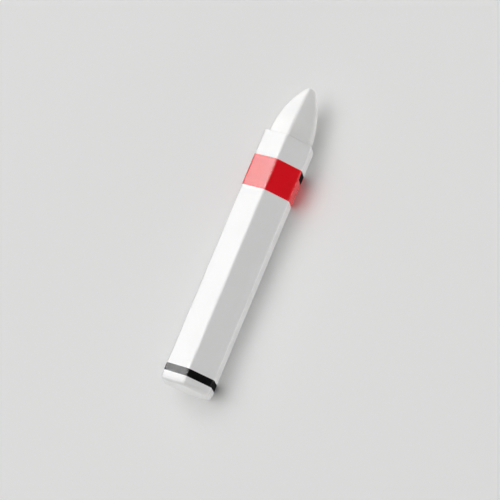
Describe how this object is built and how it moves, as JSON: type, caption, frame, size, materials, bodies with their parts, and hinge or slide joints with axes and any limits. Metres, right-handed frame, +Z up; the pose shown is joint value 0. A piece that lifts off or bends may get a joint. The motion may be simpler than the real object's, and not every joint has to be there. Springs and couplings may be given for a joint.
{
  "type": "tire marking crayon",
  "caption": "Hexagonal stick of hard marking wax with a blunt ridged point, in a white paper wrapper with a red band, for writing on tires.",
  "frame": {"origin": "on the flat that the crayon lies on, under the middle of its whole length", "axes": "+X along the stick towards the point, +Z up, square to the flat that it lies on"},
  "size_m": [0.102, 0.0178, 0.0158],
  "materials": {
    "wax": "smooth cast white wax with a soft sheen",
    "wrapper_paper": "white coated paper, satin, printed with a red band, a black line and a small black bar"
  },
  "bodies": {
    "root": {"wax_stick": "wax", "paper_wrapper": "wrapper_paper"}
  },
  "joints": []
}
